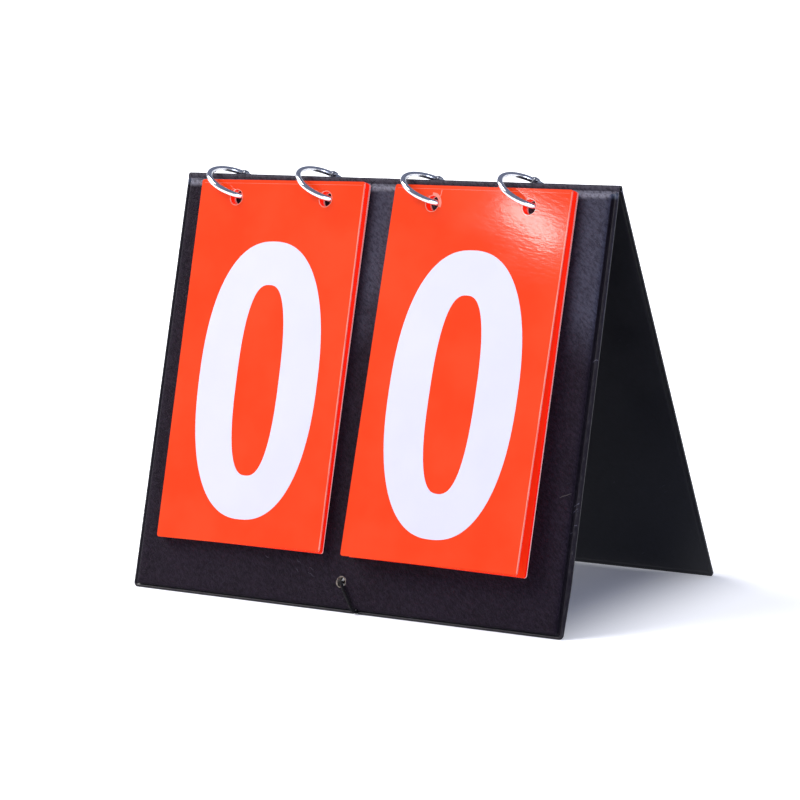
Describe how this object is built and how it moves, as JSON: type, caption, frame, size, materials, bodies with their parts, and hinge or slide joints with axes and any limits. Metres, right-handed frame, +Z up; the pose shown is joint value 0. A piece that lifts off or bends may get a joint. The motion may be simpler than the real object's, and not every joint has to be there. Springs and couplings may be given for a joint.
{
  "type": "tabletop flip scoreboard",
  "caption": "Tabletop flip scoreboard: two vinyl-covered boards folded as a tent, four snap rings and two stacks of ten orange-red number cards.",
  "frame": {"origin": "middle of the front board's foot, on the surface the scoreboard stands on", "axes": "+X along the board to the reader's right, +Y away from the reader, +Z up"},
  "size_m": [0.24, 0.1276, 0.1895],
  "materials": {
    "cover_vinyl": "fine leather-grain embossed vinyl, satin",
    "lining_vinyl": "smooth vinyl, satin",
    "greyboard": "uncoated grey board",
    "card_pvc": "satin PVC sheet, screen printed",
    "ring_nickel": "bright nickel plate",
    "pin_steel": "turned steel",
    "cord_cotton": "thin braided cotton cord"
  },
  "bodies": {
    "front_board": {"front_core": "greyboard", "front_lining": "lining_vinyl", "front_cover": "cover_vinyl", "left_card_1": "card_pvc", "left_card_2": "card_pvc", "left_card_3": "card_pvc", "left_card_4": "card_pvc", "left_card_5": "card_pvc", "left_card_6": "card_pvc", "left_card_7": "card_pvc", "left_card_8": "card_pvc", "left_card_9": "card_pvc", "right_card_1": "card_pvc", "right_card_2": "card_pvc", "right_card_3": "card_pvc", "right_card_4": "card_pvc", "right_card_5": "card_pvc", "right_card_6": "card_pvc", "right_card_7": "card_pvc", "right_card_8": "card_pvc", "right_card_9": "card_pvc", "ring_1_frame": "ring_nickel", "ring_1_pin": "pin_steel", "ring_2_frame": "ring_nickel", "ring_2_pin": "pin_steel", "ring_3_frame": "ring_nickel", "ring_3_pin": "pin_steel", "ring_4_frame": "ring_nickel", "ring_4_pin": "pin_steel", "front_cord_loop": "cord_cotton", "spreader_cord": "cord_cotton"},
    "spine": {"spine_lining": "lining_vinyl", "spine_cover": "cover_vinyl"},
    "rear_board": {"rear_core": "greyboard", "rear_lining": "lining_vinyl", "rear_cover": "cover_vinyl", "rear_cord_loop": "cord_cotton"},
    "left_front_card": {"left_card_0": "card_pvc"},
    "right_front_card": {"right_card_0": "card_pvc"},
    "ring_1_gate": {"ring_1_gate": "ring_nickel"},
    "ring_2_gate": {"ring_2_gate": "ring_nickel"},
    "ring_3_gate": {"ring_3_gate": "ring_nickel"},
    "ring_4_gate": {"ring_4_gate": "ring_nickel"}
  },
  "joints": [
    {"name": "rear_fold", "type": "hinge", "parent": "spine", "child": "rear_board", "pos_m": [0, 0.0616, 0.1826], "axis": [-1, 0, 0], "range_deg": [0, 16.5], "deforming": ["spreader_cord"]},
    {"name": "spine_fold", "type": "hinge", "parent": "front_board", "child": "spine", "pos_m": [0, 0.06, 0.1826], "axis": [-1, 0, 0], "range_deg": [0, 16.5]},
    {"name": "left_card_lift", "type": "hinge", "parent": "front_board", "child": "left_front_card", "pos_m": [-0.05957, 0.05451, 0.18367], "axis": [-0.9999, -0.0038, -0.0116], "range_deg": [0, 10]},
    {"name": "right_card_lift", "type": "hinge", "parent": "front_board", "child": "right_front_card", "pos_m": [0.05253, 0.05451, 0.18367], "axis": [-1, 0, 0], "range_deg": [0, 8]},
    {"name": "ring_1_gate_swing", "type": "hinge", "parent": "front_board", "child": "ring_1_gate", "pos_m": [-0.09698, 0.07285, 0.18323], "axis": [-0.4695, 0, -0.8829], "range_deg": [0, 80]},
    {"name": "ring_2_gate_swing", "type": "hinge", "parent": "front_board", "child": "ring_2_gate", "pos_m": [-0.04454, 0.07285, 0.18401], "axis": [-0.515, 0, -0.8572], "range_deg": [0, 80]},
    {"name": "ring_3_gate_swing", "type": "hinge", "parent": "front_board", "child": "ring_3_gate", "pos_m": [0.01502, 0.07285, 0.18323], "axis": [-0.4695, 0, -0.8829], "range_deg": [0, 80]},
    {"name": "ring_4_gate_swing", "type": "hinge", "parent": "front_board", "child": "ring_4_gate", "pos_m": [0.06746, 0.07285, 0.18401], "axis": [-0.515, 0, -0.8572], "range_deg": [0, 80]}
  ],
  "couplings": [
    {"joint": "spine_fold", "follows": "rear_fold", "ratio": 1}
  ]
}
